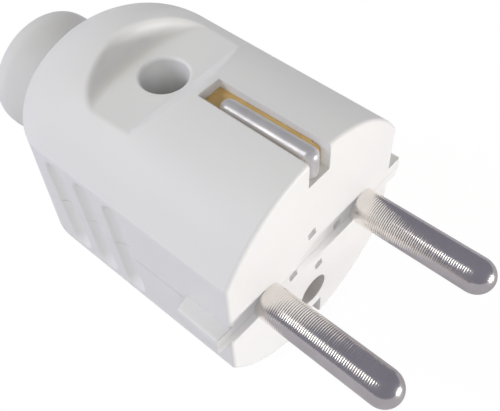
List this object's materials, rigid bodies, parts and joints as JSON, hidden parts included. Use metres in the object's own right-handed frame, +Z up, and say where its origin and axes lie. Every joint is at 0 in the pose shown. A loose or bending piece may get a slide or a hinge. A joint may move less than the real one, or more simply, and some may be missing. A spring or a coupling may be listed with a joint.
{
  "type": "type f plug",
  "caption": "Rewirable round-pin mains plug: white clam-shell body with side flats, guide ribs, earth slots on top and bottom, an earth socket, a screw recess and a flared cable bushing.",
  "frame": {"origin": "on the front face, midway between the two contact pins", "axes": "+X the way the pins point, +Y across the two pins, +Z up through the earth slot with the screw recess"},
  "size_m": [0.0751, 0.0368, 0.0386],
  "materials": {
    "shell": "satin white moulded plastic",
    "bushing": "soft white plastic",
    "pin_metal": "bright nickel plate with fine turning rings",
    "strip_metal": "nickel plate",
    "brass": "pressed and turned brass",
    "screw_steel": "zinc-plated steel",
    "clamp_steel": "pressed steel strip"
  },
  "bodies": {
    "root": {"cable_bushing": "bushing", "cable_clamp": "clamp_steel", "clamp_screw_left": "screw_steel", "clamp_screw_right": "screw_steel", "contact_pin_left": "pin_metal", "contact_pin_right": "pin_metal", "earth_sleeve": "brass", "earth_strap": "brass", "earth_strip_lower": "strip_metal", "earth_strip_upper": "strip_metal", "earth_terminal": "brass", "earth_terminal_screw": "screw_steel", "housing_nut": "screw_steel", "housing_screw": "screw_steel", "lower_shell": "shell", "terminal_screw_left": "screw_steel", "terminal_screw_right": "screw_steel", "terminal_washer_left": "screw_steel", "terminal_washer_right": "screw_steel", "upper_shell": "shell"}
  },
  "joints": []
}
